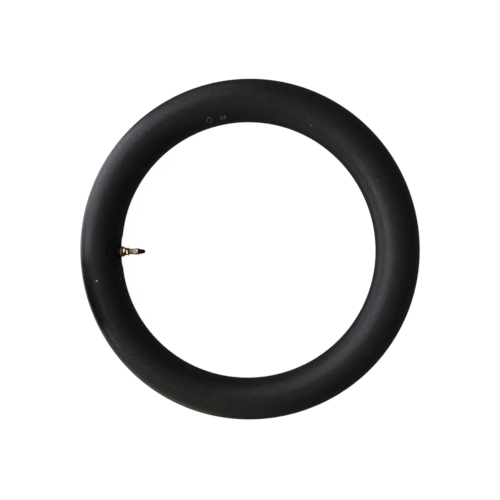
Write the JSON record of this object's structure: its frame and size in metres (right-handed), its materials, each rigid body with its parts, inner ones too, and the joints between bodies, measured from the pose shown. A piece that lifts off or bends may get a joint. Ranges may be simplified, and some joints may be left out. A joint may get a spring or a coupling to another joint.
{
  "type": "bicycle inner tube",
  "caption": "Inflated black butyl inner tube lying flat, with a clamped-in brass Woods valve that unscrews: rim nut, collar nut, plug with rubber sleeve and dust cap.",
  "frame": {"origin": "centre of the ring, on its axis and halfway through its thickness", "axes": "+Z along the ring's axis, up when it lies flat; +X from the valve's base towards the ring's centre and along the valve's axis; +Y completes the right-handed frame"},
  "size_m": [0.53, 0.53, 0.0618],
  "materials": {
    "butyl_rubber": "satin black butyl with a trace of talc",
    "patch_rubber": "matte black, buffed",
    "stem_brass": "dull turned brass",
    "washer_brass": "tarnished pressed brass",
    "clamp_nut_brass": "bright machined brass",
    "rim_nut_plated": "pale plated brass",
    "plug_brass": "machined brass",
    "sleeve_rubber": "matte reddish-brown latex",
    "collar_nut_brass": "satin knurled brass",
    "cap_plastic": "satin black moulded plastic"
  },
  "bodies": {
    "tube": {"tube_body": "butyl_rubber", "valve_patch": "patch_rubber", "valve_stem": "stem_brass", "clamp_washer": "washer_brass", "clamp_nut": "clamp_nut_brass"},
    "rim_nut": {"rim_nut": "rim_nut_plated"},
    "plug": {"valve_plug": "plug_brass", "valve_rubber": "sleeve_rubber"},
    "collar_nut": {"collar_nut": "collar_nut_brass"},
    "dust_cap": {"dust_cap": "cap_plastic"}
  },
  "joints": [
    {"name": "rim_nut_travel", "type": "slide", "parent": "tube", "child": "rim_nut", "axis": [1, 0, 0], "range_m": [-0.0019, 0.0032]},
    {"name": "plug_lift", "type": "slide", "parent": "tube", "child": "plug", "axis": [1, 0, 0], "range_m": [0, 0.00635]},
    {"name": "collar_nut_unscrew", "type": "hinge", "parent": "plug", "child": "collar_nut", "pos_m": [-0.174, 0, 0], "axis": [1, 0, 0], "range_deg": [0, 2885]},
    {"name": "dust_cap_lift", "type": "slide", "parent": "plug", "child": "dust_cap", "axis": [1, 0, 0], "range_m": [0, 0.012]}
  ],
  "couplings": [
    {"joint": "collar_nut_unscrew", "follows": "plug_lift", "rad_per_m": 7913.3}
  ]
}
